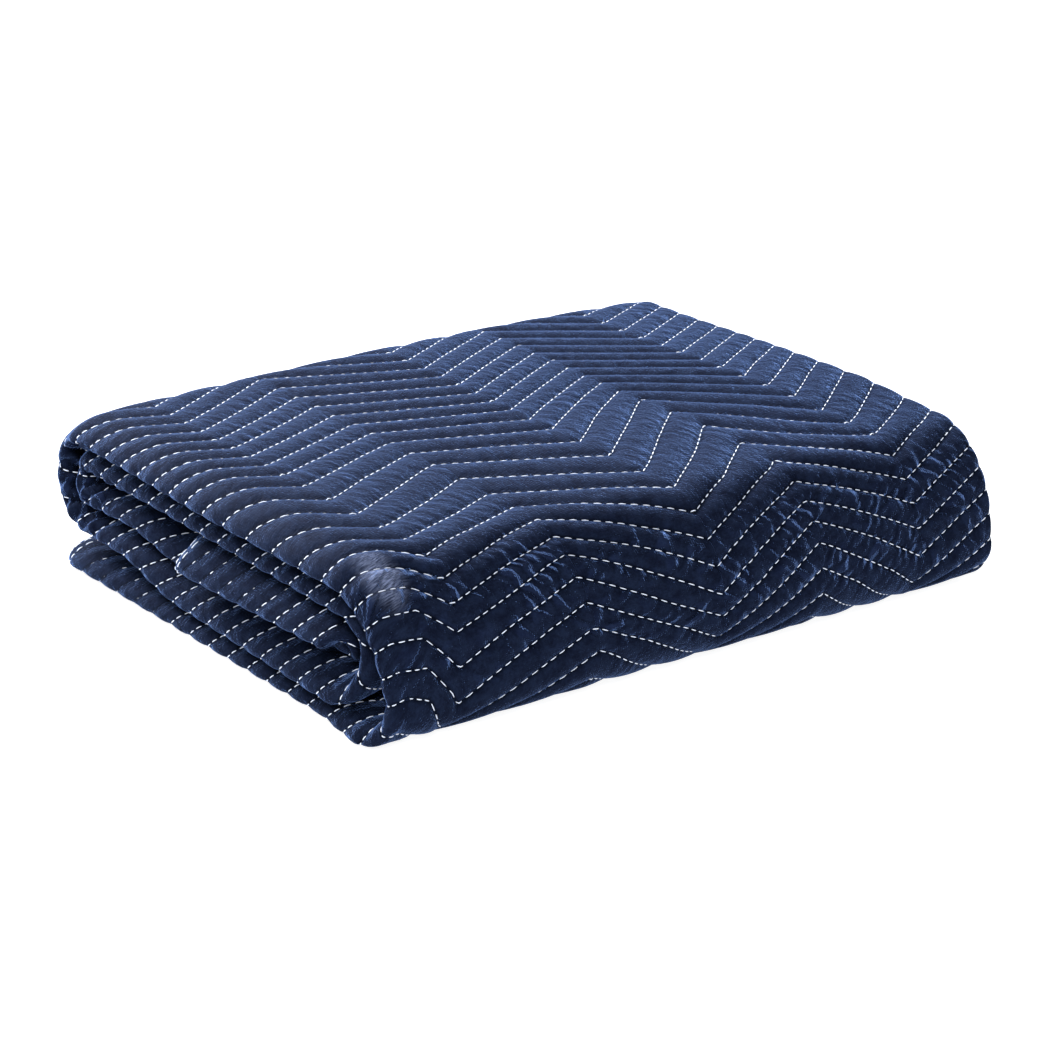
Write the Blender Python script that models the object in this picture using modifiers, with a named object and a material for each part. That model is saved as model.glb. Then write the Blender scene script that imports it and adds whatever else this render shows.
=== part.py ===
"""Quilted moving blanket, folded into a flat bundle.

The sheet is folded in half three times along its length, which makes a strip of eight plies, and the
strip is then rolled flat into six levels. The strip is one solid here: one back-and-forth section of
its levels, a little apart, with both hems, the open back loops and the zigzag quilting raised in it.
Metres, +Z up, +X along the quilting, -Y the front fold. The origin is under the middle of the bundle.
"""
import math

import bpy

MM = 0.001

# Outer size of the folded bundle
WIDTH = 430 * MM
DEPTH = 346 * MM
HEIGHT = 93 * MM

# The strip of eight plies and how its six levels lie on each other
LEVELS = 6
LEVEL_GAP = 1.0 * MM
STRIP = (HEIGHT - (LEVELS - 1) * LEVEL_GAP) / LEVELS
LEVEL_PITCH = STRIP + LEVEL_GAP

# The front folds: a tight tuck at the floor under a broad shoulder, and two folds nested inside
FRONT_TUCK_RADIUS = 20 * MM
FRONT_SHOULDER_REACH = 45 * MM
INNER_FRONT_Y = -120 * MM

# The back folds: one loop inside another, standing clear of the lowest level
BACK_LIFT = 9.75 * MM
LIFT_START_Y = 34 * MM
LIFT_END_Y = 97 * MM

# Where the two hems end, and where the lowest run is narrowest
LOW_HEM_Y = 154 * MM
LOW_MIDDLE_Y = -105 * MM
INNER_HEM_Y = 28 * MM

# Zigzag quilting: rows of lock stitch a pitch apart, pulled in at the stitches
QUILT_PITCH = 18 * MM
QUILT_DEPTH = 1.6 * MM
ZIGZAG_HALF_PERIOD = 85 * MM
ZIGZAG_HEIGHT = 40 * MM
FIRST_VALLEY_X = -WIDTH / 2 + 48 * MM

# How far the sheet sags towards the front right, as a share of the height
FRONT_SLUMP = 0.10
SLUMP_START_Y = -56 * MM
UNEVENNESS = 0.012

# The front fold is bowed out in the middle above the floor, and the back is crowned
FRONT_BOW = 6 * MM
BACK_CROWN = 0.05
BOW_START_Y = 20 * MM
BOW_START_Z = 4 * MM
BOW_END_Z = 40 * MM

# Spacing of the mesh: rows along the strip, and columns across it
PATH_STEP = 0.5 * MM
QUILT_ROW = QUILT_PITCH / 2
PLAIN_ROW = 45 * MM
LIFT_ROW = 14 * MM
SECOND_FOLD_ROW = 8.6 * MM
BACK_FOLD_ROW = 5.1 * MM
TIGHT_FOLD_ROW = 3.8 * MM
ZIGZAG_FADE = 64 * MM
COLUMN_STEP = ZIGZAG_HALF_PERIOD / 3

# How far each end of the strip stands back from the full width, from one hem to the other
END_TABLE = (
    # place along the strip, left end, right end
    ("low hem", 0.5 * MM, 8 * MM),
    ("low run middle", 10 * MM, 24 * MM),
    ("low run front", 6 * MM, 18 * MM),
    ("front tuck top", 15 * MM, 10 * MM),
    ("top run front", 8 * MM, 5 * MM),
    ("top run middle", 6 * MM, 11 * MM),
    ("top run back", 8 * MM, 12 * MM),
    ("outer loop back", 8 * MM, 9 * MM),
    ("second run back", 6 * MM, 3 * MM),
    ("second run front", 7 * MM, 2 * MM),
    ("second fold front", 16 * MM, 6 * MM),
    ("third run front", 12 * MM, 4 * MM),
    ("third run back", 10 * MM, 3 * MM),
    ("inner loop back", 13 * MM, 4 * MM),
    ("fourth run back", 8 * MM, 1 * MM),
    ("fourth run front", 8 * MM, 1 * MM),
    ("tight fold front", 14 * MM, 4 * MM),
    ("last run front", 5 * MM, 1 * MM),
    ("inner hem", 0 * MM, 0 * MM),
)

# The round of an end: distance from the edge and share of the full thickness there
END_ROUND = ((0.0, 0.16), (0.22, 0.63), (1.0, 1.0))

NAVY = (0.022, 0.040, 0.115, 1.0)


def smooth(value, low, high):
    """Rise smoothly from 0 at low to 1 at high."""
    share = min(max((value - low) / (high - low), 0.0), 1.0)
    return share * share * (3 - 2 * share)


def level_z(level):
    """Middle height of a level, counted from 0 at the floor."""
    return STRIP / 2 + level * LEVEL_PITCH


def run(start_y, end_y, height):
    """Points of a run between two folds; height is a function of y."""
    steps = max(2, round(abs(end_y - start_y) / PATH_STEP))
    points = []
    for step in range(steps + 1):
        y = start_y + (end_y - start_y) * step / steps
        points.append((y, height(y)))
    return points


def fold(centre, radii, start_angle, end_angle):
    """Points of a round fold, an arc of an ellipse in the YZ plane, angles in degrees from +Y."""
    length = math.radians(abs(end_angle - start_angle)) * max(radii)
    steps = max(8, round(length / PATH_STEP))
    points = []
    for step in range(steps + 1):
        angle = math.radians(start_angle + (end_angle - start_angle) * step / steps)
        points.append((centre[0] + radii[0] * math.cos(angle), centre[1] + radii[1] * math.sin(angle)))
    return points


def lifted(level):
    """Height of a level that climbs towards the back loops."""
    return lambda y: level_z(level) + BACK_LIFT * smooth(y, LIFT_START_Y, LIFT_END_Y)


def flat(level):
    """Height of a level that lies flat."""
    return lambda y: level_z(level)


def strip_path():
    """The middle line of the strip in the YZ plane, hem to hem, and the named places on it."""
    floor, second, fourth, last, third, top = range(LEVELS)
    front_line = -DEPTH / 2 + STRIP / 2
    tuck = (front_line + FRONT_TUCK_RADIUS, level_z(floor) + FRONT_TUCK_RADIUS)
    shoulder = (front_line + FRONT_SHOULDER_REACH, tuck[1])
    shoulder_radii = (FRONT_SHOULDER_REACH, level_z(top) - shoulder[1])

    outer_loop = (level_z(top) - level_z(second) - BACK_LIFT) / 2
    inner_loop = outer_loop - LEVEL_PITCH
    loop = (DEPTH / 2 - STRIP / 2 - outer_loop, level_z(top) - outer_loop)
    nest = (INNER_FRONT_Y, (level_z(second) + level_z(third)) / 2)
    second_fold = (level_z(third) - level_z(second)) / 2
    tight_fold = (level_z(last) - level_z(fourth)) / 2

    stretches = (
        ("low hem", run(LOW_HEM_Y, LOW_MIDDLE_Y, flat(floor))),
        ("low run middle", run(LOW_MIDDLE_Y, tuck[0], flat(floor))),
        ("low run front", fold(tuck, (FRONT_TUCK_RADIUS,) * 2, -90, -180)),
        ("front tuck top", fold(shoulder, shoulder_radii, 180, 90)),
        ("top run front", run(shoulder[0], 0, flat(top))),
        ("top run middle", run(0, loop[0], flat(top))),
        ("top run back", fold(loop, (outer_loop,) * 2, 90, 0)),
        ("outer loop back", fold(loop, (outer_loop,) * 2, 0, -90)),
        ("second run back", run(loop[0], nest[0], lifted(second))),
        ("second run front", fold(nest, (second_fold,) * 2, -90, -180)),
        ("second fold front", fold(nest, (second_fold,) * 2, 180, 90)),
        ("third run front", run(nest[0], loop[0], flat(third))),
        ("third run back", fold(loop, (inner_loop,) * 2, 90, 0)),
        ("inner loop back", fold(loop, (inner_loop,) * 2, 0, -90)),
        ("fourth run back", run(loop[0], nest[0], lifted(fourth))),
        ("fourth run front", fold(nest, (tight_fold,) * 2, -90, -180)),
        ("tight fold front", fold(nest, (tight_fold,) * 2, 180, 90)),
        ("last run front", run(nest[0], INNER_HEM_Y, flat(last))),
    )
    points = [stretches[0][1][0]]
    lengths = [0.0]
    places = {}
    for name, stretch in stretches:
        places[name] = lengths[-1]
        for point in stretch[1:]:
            lengths.append(lengths[-1] + math.dist(points[-1], point))
            points.append(point)
    places["inner hem"] = lengths[-1]
    return points, lengths, places


def look_up(value, keys, values):
    """Read a table of numbers or points at a value between its keys."""
    low, high = 0, len(keys) - 1
    while high - low > 1:
        middle = (low + high) // 2
        if keys[middle] <= value:
            low = middle
        else:
            high = middle
    share = min(max((value - keys[low]) / (keys[high] - keys[low]), 0.0), 1.0)
    return tuple(a + (b - a) * share for a, b in zip(values[low], values[high]))


def spread(start, end, spacing):
    """Even steps from start up to, and not at, end."""
    steps = max(1, round((end - start) / spacing))
    return [start + (end - start) * step / steps for step in range(steps)]


def strip_rows(places):
    """Mesh rows along the strip: (distance from the low hem, 1 on a stitch row and 0 on a crest)."""
    total = places["inner hem"]
    radius = STRIP / 2
    quilt_start = places["low run front"] - ZIGZAG_FADE / 2
    quilt_rows = round((places["second run back"] + ZIGZAG_FADE / 2 - quilt_start) / QUILT_ROW)
    quilt_end = quilt_start + quilt_rows * QUILT_ROW
    lift_length = places["top run back"] - places["top run middle"] - LIFT_START_Y
    second_flat = places["second run back"] + lift_length
    fourth_flat = places["fourth run back"] + lift_length

    rows = [share * radius for share, _ in END_ROUND[:-1]]
    rows += spread(radius, quilt_start, PLAIN_ROW)
    quilted = [quilt_start + step * QUILT_ROW for step in range(quilt_rows)]
    rows += quilted
    rows += spread(quilt_end, second_flat, LIFT_ROW)
    rows += spread(second_flat, places["second run front"], PLAIN_ROW)
    rows += spread(places["second run front"], places["third run front"], SECOND_FOLD_ROW)
    rows += spread(places["third run front"], places["third run back"], PLAIN_ROW)
    rows += spread(places["third run back"], places["fourth run back"], BACK_FOLD_ROW)
    rows += spread(places["fourth run back"], fourth_flat, LIFT_ROW)
    rows += spread(fourth_flat, places["fourth run front"], PLAIN_ROW)
    rows += spread(places["fourth run front"], places["last run front"], TIGHT_FOLD_ROW)
    rows += spread(places["last run front"], total - radius, PLAIN_ROW)
    rows += [total - share * radius for share, _ in reversed(END_ROUND)]

    stitched = {row: step % 2 for step, row in enumerate(quilted)}
    return [(row, stitched.get(row, 0)) for row in rows]


def zigzag(x):
    """Offset of a stitch row across the strip at x, from -half to +half of the zigzag's height."""
    turns = (x - FIRST_VALLEY_X) / ZIGZAG_HALF_PERIOD
    ramp = abs(turns % 2 - 1)
    return ZIGZAG_HEIGHT * (0.5 - ramp)


def strip_columns():
    """Mesh columns across the strip: the round ends, and three for each leg of the zigzag."""
    columns = [("left", share) for share, _ in END_ROUND]
    x = FIRST_VALLEY_X
    while x < WIDTH / 2 - 2 * STRIP:
        columns.append(("leg", x))
        x += COLUMN_STEP
    columns += [("right", share) for share, _ in reversed(END_ROUND)]
    return columns


def round_share(distance):
    """Thickness share at a distance from an end, given in strip radii."""
    keys = [share for share, _ in END_ROUND]
    values = [(thickness,) for _, thickness in END_ROUND]
    return look_up(distance, keys, values)[0]


def settled(co):
    """Let the stack sag towards the front right and both back corners, and bow its front fold."""
    across = (co.x + WIDTH / 2) / WIDTH
    outward = (2 * co.x / WIDTH) ** 2
    forward = max(0.0, (SLUMP_START_Y - co.y) / (SLUMP_START_Y + DEPTH / 2))
    bowed = smooth(-co.y, BOW_START_Y, DEPTH / 2) * smooth(co.z, BOW_START_Z, BOW_END_Z)
    crowned = smooth(co.y, -BOW_START_Y, DEPTH / 2)
    wave = math.sin(2 * math.pi * (co.x / 0.26 + 0.12)) * math.cos(2 * math.pi * co.y / 0.21)
    sag = FRONT_SLUMP * across * forward + BACK_CROWN * outward * crowned + UNEVENNESS * 0.5 * (1 + wave)
    return co.x, co.y + FRONT_BOW * outward * bowed, co.z * (1 - sag)


def build_blanket(material):
    """One flat grid of the strip, laid on its folded path, given its thickness and settled."""
    points, lengths, places = strip_path()
    total = places["inner hem"]
    rows = strip_rows(places)
    columns = strip_columns()
    end_keys = [places[name] for name, _, _ in END_TABLE]
    end_values = [(left, right) for _, left, right in END_TABLE]
    relief_start = places["low run front"]
    relief_end = places["second run back"]

    bpy.ops.mesh.primitive_grid_add(x_subdivisions=len(columns) - 1, y_subdivisions=len(rows) - 1, size=1)
    blanket = bpy.context.object
    blanket.name = "blanket"
    blanket.data.name = "blanket"
    blanket.data.materials.append(material)
    thickness = blanket.vertex_groups.new(name="thickness")

    for vertex in blanket.data.vertices:
        kind, place = columns[round((vertex.co.x + 0.5) * (len(columns) - 1))]
        row, stitch = rows[round((vertex.co.y + 0.5) * (len(rows) - 1))]
        left, right = look_up(row, end_keys, end_values)
        share = 1.0
        if kind == "left":
            x = -WIDTH / 2 + left + place * STRIP / 2
            share = round_share(place)
        elif kind == "right":
            x = WIDTH / 2 - right - place * STRIP / 2
            share = round_share(place)
        else:
            x = place
        fade_in = smooth(row, relief_start - ZIGZAG_FADE / 2, relief_start + ZIGZAG_FADE / 2)
        fade_out = 1 - smooth(row, relief_end - ZIGZAG_FADE / 2, relief_end + ZIGZAG_FADE / 2)
        along = row + zigzag(x) * min(fade_in, fade_out)
        y, z = look_up(along, lengths, points)
        raised = smooth(along, relief_start, relief_start + QUILT_PITCH)
        raised *= 1 - smooth(along, relief_end, relief_end + QUILT_PITCH)
        share *= 1 - stitch * raised * 2 * QUILT_DEPTH / STRIP
        share *= round_share(min(along, total - along) / (STRIP / 2))
        vertex.co = (x, y, z)
        thickness.add([vertex.index], share, "REPLACE")

    solid = blanket.modifiers.new("Strip thickness", "SOLIDIFY")
    solid.thickness = STRIP
    solid.offset = 0
    solid.vertex_group = thickness.name
    bpy.ops.object.modifier_apply(modifier=solid.name)
    for vertex in blanket.data.vertices:
        vertex.co = settled(vertex.co)
    facets = blanket.modifiers.new("Facets along the folds", "TRIANGULATE")
    facets.quad_method = "SHORTEST_DIAGONAL"
    return blanket


def fabric_material():
    """Navy woven polyester."""
    material = bpy.data.materials.new("navy_woven_polyester")
    material.use_nodes = True
    shader = material.node_tree.nodes["Principled BSDF"]
    shader.inputs["Base Color"].default_value = NAVY
    shader.inputs["Roughness"].default_value = 0.75
    shader.inputs["Metallic"].default_value = 0.0
    return material


def main():
    for old in list(bpy.data.objects):
        bpy.data.objects.remove(old)
    collection = bpy.data.collections.new("moving_blanket")
    bpy.context.scene.collection.children.link(collection)
    blanket = build_blanket(fabric_material())
    for holder in list(blanket.users_collection):
        holder.objects.unlink(blanket)
    collection.objects.link(blanket)
    blanket.data.shade_smooth()
    blanket.data.set_sharp_from_angle(angle=math.radians(50))


main()
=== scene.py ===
import math
import random

import bpy
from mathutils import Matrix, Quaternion, Vector


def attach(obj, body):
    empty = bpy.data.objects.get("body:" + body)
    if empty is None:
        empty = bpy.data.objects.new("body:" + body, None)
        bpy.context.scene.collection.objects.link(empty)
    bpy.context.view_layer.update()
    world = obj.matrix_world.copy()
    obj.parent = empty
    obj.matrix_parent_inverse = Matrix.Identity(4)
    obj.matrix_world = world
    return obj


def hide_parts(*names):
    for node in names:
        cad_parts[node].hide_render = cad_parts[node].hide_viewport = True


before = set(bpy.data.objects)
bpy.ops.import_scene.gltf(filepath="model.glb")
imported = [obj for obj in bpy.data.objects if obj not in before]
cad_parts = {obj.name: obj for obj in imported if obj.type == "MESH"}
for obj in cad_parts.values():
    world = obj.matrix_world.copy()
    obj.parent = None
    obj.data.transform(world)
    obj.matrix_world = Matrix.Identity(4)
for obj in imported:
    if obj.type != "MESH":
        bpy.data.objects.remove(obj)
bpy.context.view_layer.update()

bl_info = {
    "name": "Moving blanket",
    "version": (1, 0, 0),
    "blender": (4, 5, 0),
    "location": "3D View > Sidebar > Blanket",
    "description": "A quilted moving blanket, folded in eight and rolled flat, with its stitching",
    "category": "Add Mesh",
}

MM = 0.001


def in_mm(table):
    """A table of sizes given in millimetres, with each number turned to metres."""
    metres = []
    for value in table:
        if isinstance(value, tuple):
            metres.append(in_mm(value))
        elif isinstance(value, str):
            metres.append(value)
        else:
            metres.append(value * MM)
    return tuple(metres)


BLANKET = "moving_blanket"
STITCHES = "quilting_stitches"
HEM_STITCHES = "hem_stitches"

# The folded bundle, as the solid has it
BUNDLE_WIDTH = 430 * MM
BUNDLE_DEPTH = 346 * MM
BUNDLE_HEIGHT = 93 * MM
LEVELS = 6
LEVEL_GAP = 1.0 * MM
STRIP = (BUNDLE_HEIGHT - (LEVELS - 1) * LEVEL_GAP) / LEVELS
LEVEL_PITCH = STRIP + LEVEL_GAP
FRONT_TUCK_RADIUS = 20 * MM
FRONT_SHOULDER_REACH = 45 * MM
INNER_FRONT_Y = -120 * MM
BACK_LIFT = 9.75 * MM
LIFT_START_Y = 34 * MM
LIFT_END_Y = 97 * MM
LOW_HEM_Y = 154 * MM
LOW_MIDDLE_Y = -105 * MM
INNER_HEM_Y = 28 * MM
FRONT_SLUMP = 0.10
SLUMP_START_Y = -56 * MM
UNEVENNESS = 0.012
WAVE_LENGTH = 260 * MM
WAVE_SHIFT = 0.12
WAVE_WIDTH = 210 * MM
FRONT_BOW = 6 * MM
BACK_CROWN = 0.05
BOW_START_Y = 20 * MM
BOW_START_Z = 4 * MM
BOW_END_Z = 40 * MM
PATH_STEP = 0.5 * MM

# How far each end of the strip stands back from the full width, and how far its left end hangs, in mm
END_TABLE = in_mm((
    # place along the strip, left end, right end, hang
    ("low hem", 0.5, 8, 0),
    ("low run middle", 10, 24, 0),
    ("low run front", 6, 18, 0),
    ("front tuck top", 15, 10, 0),
    ("top run front", 8, 5, 3),
    ("top run middle", 6, 11, 3),
    ("top run back", 8, 12, 2),
    ("outer loop back", 8, 9, 0),
    ("second run back", 6, 3, 2),
    ("second run front", 7, 2, 4),
    ("second fold front", 16, 6, 0),
    ("third run front", 12, 4, 3),
    ("third run back", 10, 3, 2),
    ("inner loop back", 13, 4, 0),
    ("fourth run back", 8, 1, 1),
    ("fourth run middle", 13, 1, 0),
    ("fourth run covered", 24, 1, 0),
    ("fourth run front", 24, 1, 0),
    ("tight fold front", 16, 4, 0),
    ("last run front", 5, 1, 6),
    ("inner hem", 0, 0, 9),
))
# How far in from the end a hanging stretch begins to bend
HANG_REACH = 26 * MM
# The fourth run is set further back from here on, where the third covers it
COVERED_START_Y = 44 * MM
COVERED_END_Y = 14 * MM

# How the cloth is drawn in over the front fold and eased out behind it: flat and folded distances in mm
EASE_TABLE = in_mm((
    # from the low hem on the flat sheet, from the low hem along the strip
    (0, 0.0),
    (282, 294.4),
    (312, 317.3),
    (336, 335.6),
    (360, 354.8),
    (385, 373.1),
    (410, 390.4),
    (432, 409.7),
    (454, 437.1),
    (478, 471.8),
    (502, 505.4),
    (530, 537.4),
    (560, 567.0),
    (600, 606.6),
    (640, 647.6),
    (1800, 1815.0),
))

# How far the outer ply is drawn out of true at each turn of its zigzag, in mm, at places from the low hem
DRAWN_PLACES = in_mm((282, 320, 357, 393, 430, 470, 510, 570, 660))
DRAWN_TABLE = in_mm((
    # distance from the left fold, sideways low on the front, sideways above it, along at each place
    (0, 0.0, 0.0, (0, 0, 0, 0, 0, 0, 0, 0, 0)),
    (12, -2, 1, (0, 8, 8, 7, 6, 5, 4, 2, 0)),
    (30, -5, 2.5, (0, 14, 14, 12, 11, 9, 7, 4, 0)),
    (49, -8, 4, (0, 0.5, 6.5, 6, 9.5, 6, 5, 3, 0)),
    (128, 5, -0.5, (0, 5, 2, 2, -4, -12.5, -12, -8, 0)),
    (207, 9.5, 9.5, (0, -2, -8, -5, -1, 5, 5, 3, 0)),
    (286, 3.5, 3.5, (0, 2, 2, -1, -5, 6.5, 11.5, 6, 0)),
    (365, -0.5, -0.5, (0, -4.5, -2.5, -1, 2.5, -2, -7, -4, 0)),
    (425, 0.0, 0.0, (0, 0, 0, 0, 0, 0, 0, 0, 0)),
))
# Between which flat places the sideways shift sets in, passes from the low to the high one, and ends
SIDEWAYS_START = 262 * MM
SIDEWAYS_LOW = 300 * MM
SIDEWAYS_HIGH = 400 * MM
SIDEWAYS_END = 780 * MM

# The main creases and ridges of the outer ply, in mm from the left fold and from the low hem
CREASE_TABLE = in_mm((
    # start, end, half width, depth, less than 0 for a ridge
    ((15, 300), (12, 362), 9, 1.5),
    ((13, 360), (17, 430), 9, -1.6),
    ((26, 360), (30, 410), 7, 1.0),
    ((232, 350), (214, 402), 6, 1.1),
    ((246, 360), (231, 412), 6, 1.0),
    ((100, 345), (122, 392), 7, 0.9),
))
# Along a crease from 0 to 1: where it sets in, is deepest, begins to fade and has gone
CREASE_TAPER = (-0.2, 0.3, 0.7, 1.2)

# Wrinkles inside the two loops at the back left: where each loop's inside begins, is full, fades and
# ends, how far past the left fold it reaches, and the wrinkles' height, pitch and swing
OUTER_LOOP_INSIDE = in_mm((640, 665, 750, 784))
INNER_LOOP_INSIDE = in_mm((1280, 1300, 1380, 1410))
LOOP_INSIDE_REACH = in_mm((-6, 4))
LOOP_WRINKLE = 1.7 * MM
LOOP_WRINKLE_PITCH = 12 * MM
LOOP_WRINKLE_SWING = 4
LOOP_WRINKLE_SWING_PITCH = 41 * MM

# The layer that each ply lies in, from 0 on the inside of the roll to 7 on its outside
PLY_LAYERS = (0, 7, 4, 3, 2, 5, 6, 1)

# The turns between plies: how far they reach for their radius, how far apart the nested ones lie for
# theirs, and how far gravity draws their edge down
LEFT_REACH = 1.9
RIGHT_REACH = 1.5
NEST_GAP = 1.2
EDGE_DROOP = 0.72
RIGHT_DROOP_SHARE = 0.5
END_BAND = 27 * MM

# Hems and selvedges: a narrow band turned under the sheet, its corners rounded
HEM = 12 * MM
HEM_THICKNESS = 0.9 * MM
HEM_TURN = 1.4 * MM
HEM_CORNER = 12 * MM
HEM_CORNER_DEPTH = 0.8

# The stretch of the outermost ply that shows its quilting in relief, which is lower on the top
RELIEF_START = 262 * MM
RELIEF_END = 786 * MM
RELIEF_FADE = 48 * MM
TOP_START = 470 * MM
TOP_FLATTENED = 0.2
# The relief sets in around the left fold, is lowered ahead of the right one and ends past it, and a
# share of it stays on the turns at the left fold
RELIEF_LEFT = in_mm((-16, 30))
RELIEF_RIGHT = in_mm((-24, -4))
RELIEF_RIGHT_LOWERED = 0.6
RELIEF_PAST_RIGHT = in_mm((0, 8))
RELIEF_ON_TURNS = in_mm((16, 34))
RELIEF_TURN_SHARE = 0.4
# The puffed channels: how round they are, their mean height, and the strip's room for them, as shares
PUFF_ROUNDNESS = 0.65
PUFF_MEAN = 0.4
PUFF_ROOM = 0.6

# How much the cloth is puckered all over, where it is fully so on the front, and the patch of painted
# sheen on the left shoulder, a pale colour for its shine: its place from the left fold and the low hem,
# and its half sizes
GATHERED_EVERYWHERE = 0.16
GATHERED_FRONT = in_mm((316, 346, 392, 424))
SHEEN_PATCH_PLACE = in_mm((22, 398))
SHEEN_PATCH_SIZE = in_mm((12, 32))
SHEEN_PATCH_CORE = 0.1

# The floor's size in metres, the lights and the camera, which leans to its left by its roll in degrees
FLOOR_SIZE = 60
LIGHTS_AIM = (0, 0, 0.04)
KEY_PLACE = (-0.25, 1.7, 1.4)
KEY_SIZE = 1.3
FILL_PLACE = (-1.3, -1.6, 1.6)
FILL_SIZE = 0.8
CAMERA_PLACE = (-0.94432, -1.29781, 0.65348)
CAMERA_AIM = (-0.02439, -0.03396, 0.042)
CAMERA_ROLL = 0.594
SENSOR_WIDTH = 36

# Spacing of the mesh: rows as a share of the quilting's pitch, columns across a ply, a leg of the zigzag
# and the band at each turn, and the cuts where it is made finer
ROW_STEP_SHARE = 0.5
HEM_ROW = 3 * MM
PLAIN_COLUMNS = 8
LEG_COLUMNS = 6
COLUMN_CLEARANCE = 4 * MM
WIDE_TURN = 2 * MM
WIDE_TURN_BAND = 12 * MM
NARROW_TURN_BAND = 5 * MM
OUTER_TURN_COLUMNS = 7
TURN_COLUMNS = 3
FINE_CUTS = 3
END_CUTS = 1
FINE_PAST_RIGHT = 5 * MM
FINE_MARGIN = 9 * MM
INNER_LOOP_FINE = in_mm((1270, 1420))

# The rows of the mesh follow the zigzag, from the first of these distances from a hem to the second
ZIGZAG_FADE = in_mm((40, 110))

# The stitches, as shares of the thread's width: how deep their ends and how high their middles lie, how
# far they stray and how flat they are
STITCH_END_DEPTH = 0.3
STITCH_LIFT = 0.35
STITCH_WOBBLE = 0.15
STITCH_FLATNESS = 0.8
WOBBLE_SEED = 7
ROW_SEED = 3

# Where the stitches can be seen: on the outermost ply up to the back, this far from the left and right
# folds, on the low hem's inner side and inside the back loops
BACK_SEEN = RELIEF_END + 60 * MM
LEFT_END_SEEN = 45 * MM
RIGHT_END_SEEN = 14 * MM
LOW_HEM_SEEN = 70 * MM
LOOP_SEEN = in_mm((540, 790))

# Rows of quilting keep clear of the hems, and two lines of stitching hold each hem
HEM_CLEARANCE = 16 * MM
HEM_LINES = in_mm((4, 9))
HEM_LINE_START = 2 * MM


def number_setting(name, description, default, unit="NONE"):
    """A setting that is a number."""
    return bpy.props.FloatProperty(name=name, description=description, default=default, unit=unit)


def length_setting(name, description, default):
    """A setting that is a length in metres."""
    return number_setting(name, description, default, "LENGTH")


def colour_setting(name, description, default):
    """A setting that is a colour."""
    return bpy.props.StringProperty(name=name, description=description + ", sRGB hex", default=default)


class BlanketSettings(bpy.types.PropertyGroup):
    """Sizes and colours of the sheet."""
    flat_width: length_setting(
        "Flat width", "Size of the unfolded sheet across the rows of quilting", 1.8)
    flat_length: length_setting(
        "Flat length", "Size of the unfolded sheet along the rows of quilting", 3.4)
    quilt_pitch: length_setting("Quilting pitch", "Distance between rows of stitching", 18 * MM)
    first_row: length_setting(
        "First row", "Distance from the low hem to the middle of the first row", 18 * MM)
    zigzag_height: length_setting(
        "Zigzag height", "Height of the zigzag of a row, valley to peak", 41 * MM)
    zigzag_leg: length_setting(
        "Zigzag leg", "Distance along a row from a valley to the next peak", 79 * MM)
    first_valley: length_setting(
        "First valley", "Distance from the left fold to the first valley of the zigzag", 49 * MM)
    puff: length_setting("Puff", "How far the filling swells the cloth between two rows", 2.4 * MM)
    cloth_colour: colour_setting("Cloth colour", "Colour of the woven polyester", "0f1424")
    worn_colour: colour_setting("Lighter cloth colour", "Colour where the weave is rubbed", "1b2439")
    # Painted sheen: a pale colour on one patch of the left shoulder, standing in for its shine
    sheen_patch_colour: colour_setting(
        "Rubbed cloth colour", "Colour of the patch that is rubbed shiny", "8b98bd")
    # Painted highlight: the lighter colour put on the ridges of the puckers, where light would catch them
    pucker_highlight_colour: colour_setting("Pucker ridge colour", "Colour on the ridges of the puckers", "36487a")
    # Painted shade: the dark colour put into the dips along the stitching and into the gaps between the
    # levels
    painted_shade_colour: colour_setting("Seam colour", "Colour in the dips along the stitching", "04060c")


class StitchSettings(bpy.types.PropertyGroup):
    """Sizes and colour of the stitching."""
    stitch_length: length_setting("Stitch length", "Length of a stitch that shows", 4.4 * MM)
    stitch_pitch: length_setting("Stitch pitch", "Distance from one stitch to the next", 6.0 * MM)
    thread_width: length_setting("Thread width", "Width of the thread", 0.65 * MM)
    thread_colour: colour_setting("Thread colour", "Colour of the thread", "e8f0ff")
    # Painted light: a glow of the thread's own, which lightens it where it lies in shade
    thread_painted_glow: number_setting(
        "Thread brightener", "Light that the brightened thread gives off by itself", 0.18)


class StageSettings(bpy.types.PropertyGroup):
    """The floor, the lights and the camera."""
    floor_colour: colour_setting("Floor colour", "Colour of the studio floor", "a8aaad")
    floor_glow: number_setting("Floor glow", "Light that the floor gives off by itself", 0.92)
    key_power: number_setting(
        "Key light", "Power of the large light above and behind", 193.0, "POWER")
    fill_power: number_setting("Fill light", "Power of the weak light in front", 30.0, "POWER")
    sky_strength: number_setting(
        "Room light", "Strength of the even light from all around", 0.35)
    lens: number_setting("Lens", "Focal length on a 36 mm sensor, in millimetres", 103.99)


def linear(code):
    """Linear RGBA of an sRGB hex colour."""
    channels = []
    for start in (0, 2, 4):
        value = int(code[start:start + 2], 16) / 255
        channels.append(value / 12.92 if value <= 0.04045 else ((value + 0.055) / 1.055) ** 2.4)
    return (*channels, 1.0)


def smooth(value, low, high):
    """Rise smoothly from 0 at low to 1 at high."""
    share = min(max((value - low) / (high - low), 0.0), 1.0)
    return share * share * (3 - 2 * share)


def band(value, start, full, fading, end):
    """Rise smoothly from 0 at start to 1 at full, and fall again from fading to end."""
    return smooth(value, start, full) * (1 - smooth(value, fading, end))


def level_z(level):
    """Middle height of a level, counted from 0 at the floor."""
    return STRIP / 2 + level * LEVEL_PITCH


def run(start_y, end_y, height):
    """Points of a run between two folds; height is a function of y."""
    steps = max(2, round(abs(end_y - start_y) / PATH_STEP))
    points = []
    for step in range(steps + 1):
        y = start_y + (end_y - start_y) * step / steps
        points.append((y, height(y)))
    return points


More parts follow.
